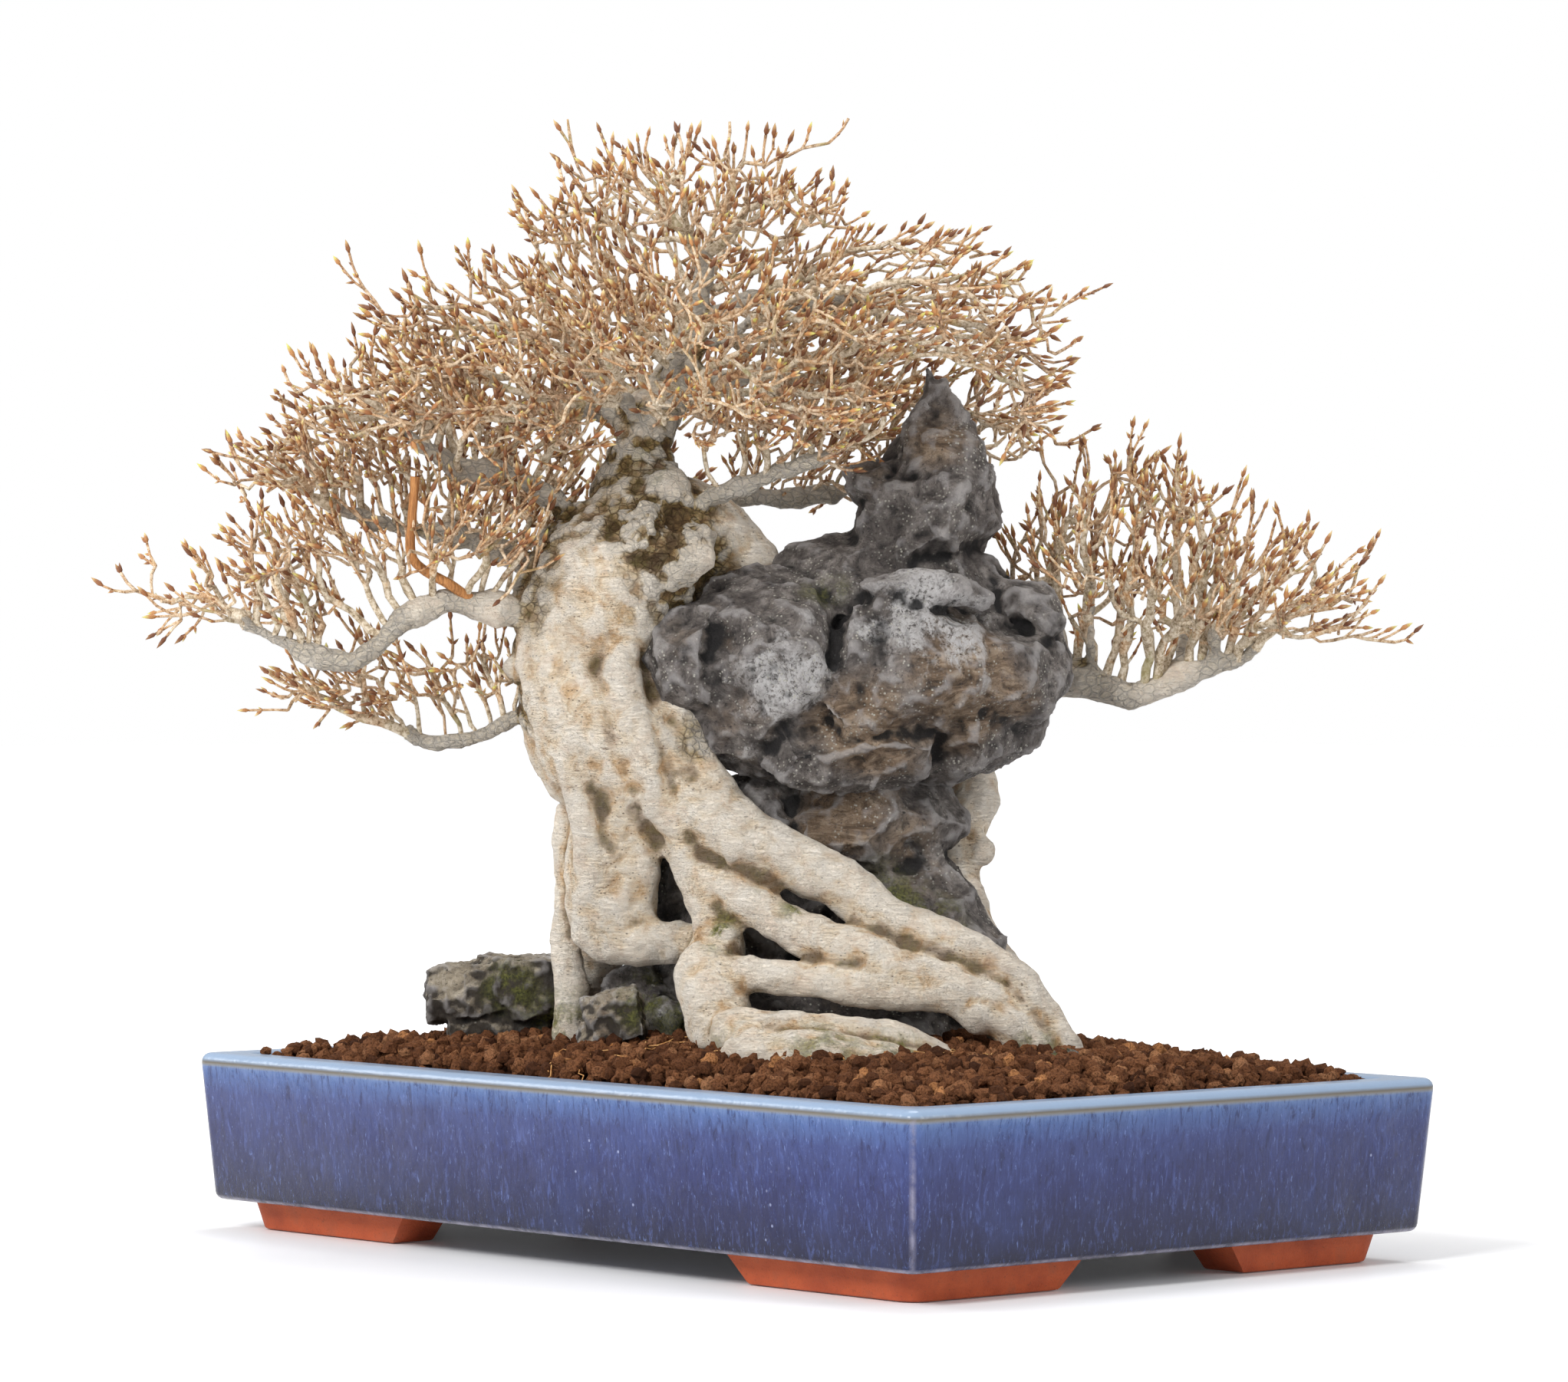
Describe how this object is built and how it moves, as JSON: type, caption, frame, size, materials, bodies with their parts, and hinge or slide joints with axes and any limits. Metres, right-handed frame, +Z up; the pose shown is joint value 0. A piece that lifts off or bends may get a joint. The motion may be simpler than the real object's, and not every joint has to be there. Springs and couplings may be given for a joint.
{
  "type": "bonsai tree in a pot",
  "caption": "Leafless deciduous bonsai with roots gripping a tall rock, planted in red grit in a shallow rectangular glazed pot on corner feet.",
  "frame": {"origin": "on the surface the feet stand on, under the middle of the pot", "axes": "+Z up; +X along the pot's long side; +Y along its short side, away from the front long side. The tree's own front faces the pot's corner at +X, -Y."},
  "size_m": [0.54, 0.5119, 0.5636],
  "materials": {
    "blue_glaze": "glossy streaked blue glaze over stoneware, feet and underside bare fired clay",
    "screen_plastic": "moulded mesh, matt",
    "aluminium_wire": "soft bare wire",
    "red_grit": "fired clay granules of six to nine millimetres, loose",
    "pale_bark": "living trunk and roots, cream with rough olive patches",
    "twig_bark": "living twigs, grey-beige to orange-brown, buds red-brown",
    "grey_stone": "rough broken rock with pale veins and moss"
  },
  "bodies": {
    "root": {"pot": "blue_glaze", "drainage_screen_1": "screen_plastic", "drainage_screen_2": "screen_plastic", "screen_clip_1": "aluminium_wire", "screen_clip_2": "aluminium_wire", "tie_wire_1": "aluminium_wire", "tie_wire_2": "aluminium_wire", "soil": "red_grit", "trunk_and_roots": "pale_bark", "crown": "twig_bark", "right_front_limb": "twig_bark", "right_back_limb": "twig_bark", "far_right_limb": "twig_bark", "upper_left_limb": "twig_bark", "middle_left_limb": "twig_bark", "long_left_limb": "twig_bark", "low_left_limb": "twig_bark", "back_limb": "twig_bark", "main_rock": "grey_stone", "pedestal_rock": "grey_stone", "slab_stone": "grey_stone", "dark_stone": "grey_stone", "wedge_stone": "grey_stone", "root_tip_stone": "grey_stone"}
  },
  "joints": []
}
